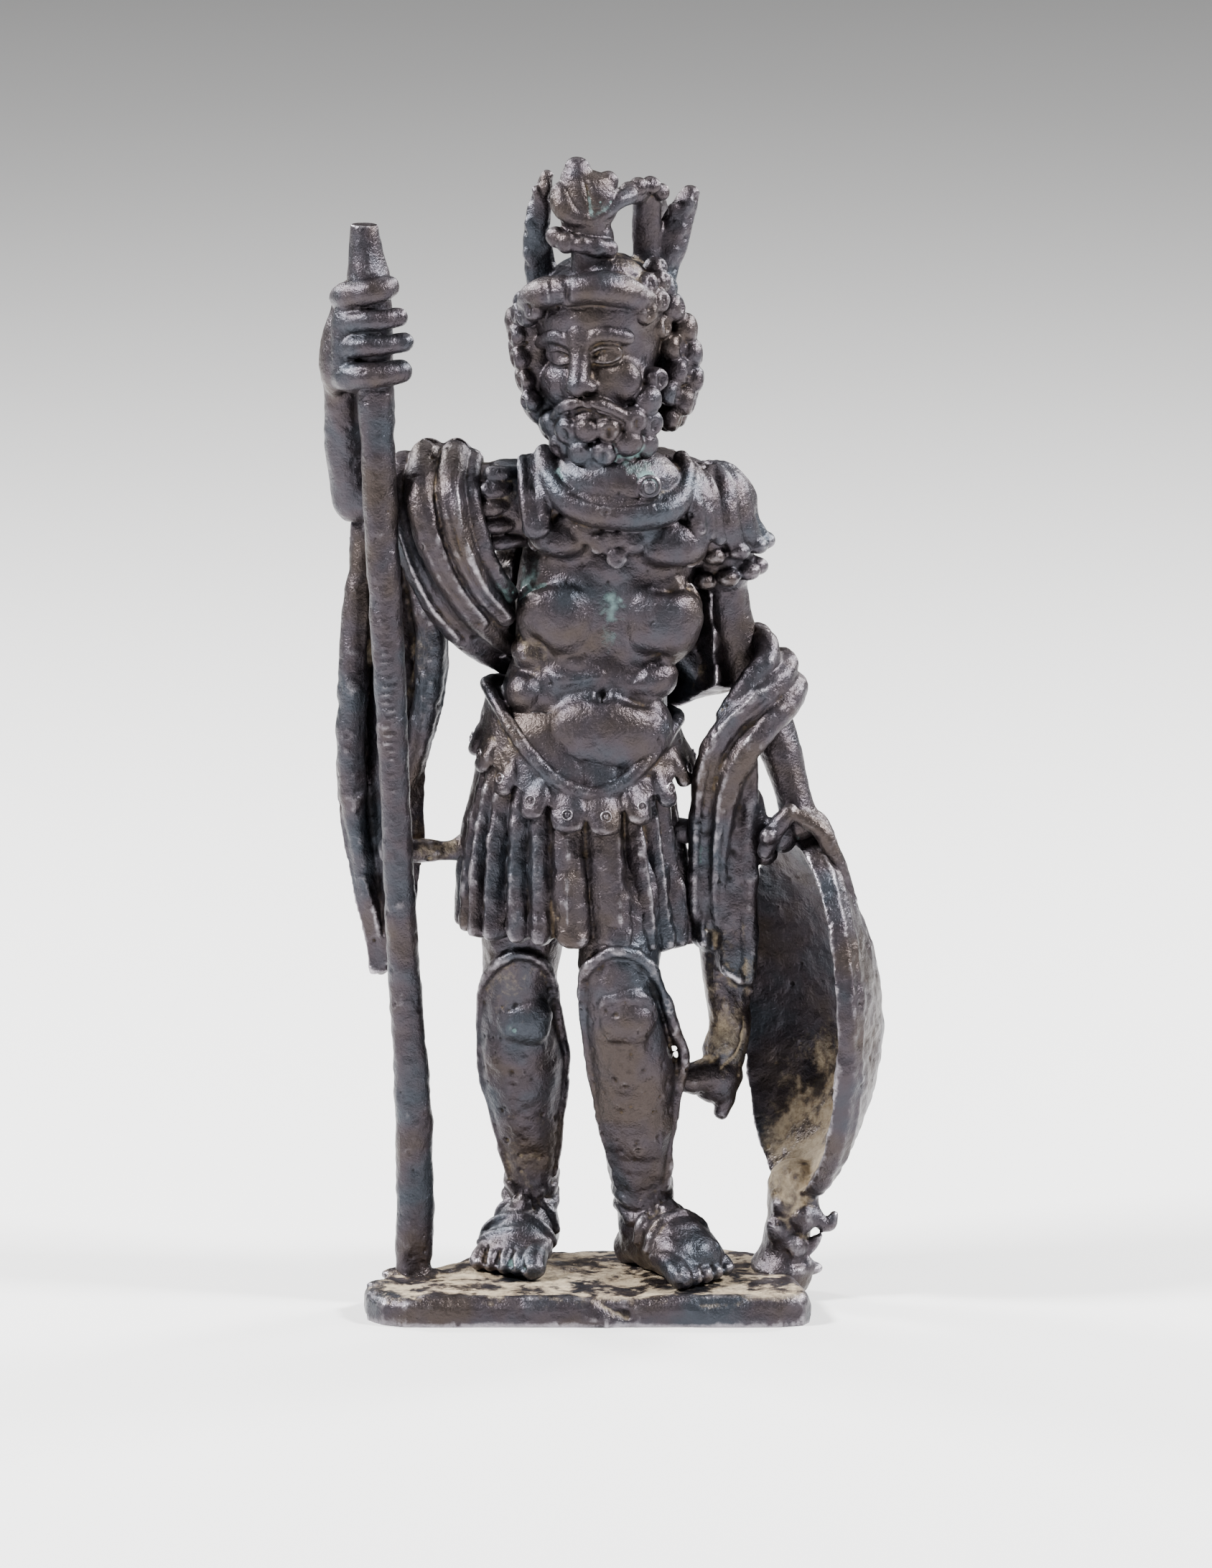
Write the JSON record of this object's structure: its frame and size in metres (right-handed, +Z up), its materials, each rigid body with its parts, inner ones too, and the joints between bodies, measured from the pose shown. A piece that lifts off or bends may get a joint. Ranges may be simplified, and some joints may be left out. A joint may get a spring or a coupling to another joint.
{
  "type": "classical armoured god statuette",
  "caption": "Small solid-cast metal statuette of a bearded god in a plumed helmet and muscled cuirass, leaning on a spear, with a shield at his side, on a thin plinth.",
  "frame": {"origin": "centre of the plinth's underside", "axes": "+Z up through the figure, -Y the way the plinth's straight front edge faces, +X to the viewer's right, the side of the shield"},
  "size_m": [0.0572, 0.0275, 0.1198],
  "materials": {
    "patinated_bronze": "dark purple-grey patina, worn bright on the high places, with ochre and blue-green deposits"
  },
  "bodies": {
    "root": {"statuette": "patinated_bronze"}
  },
  "joints": []
}
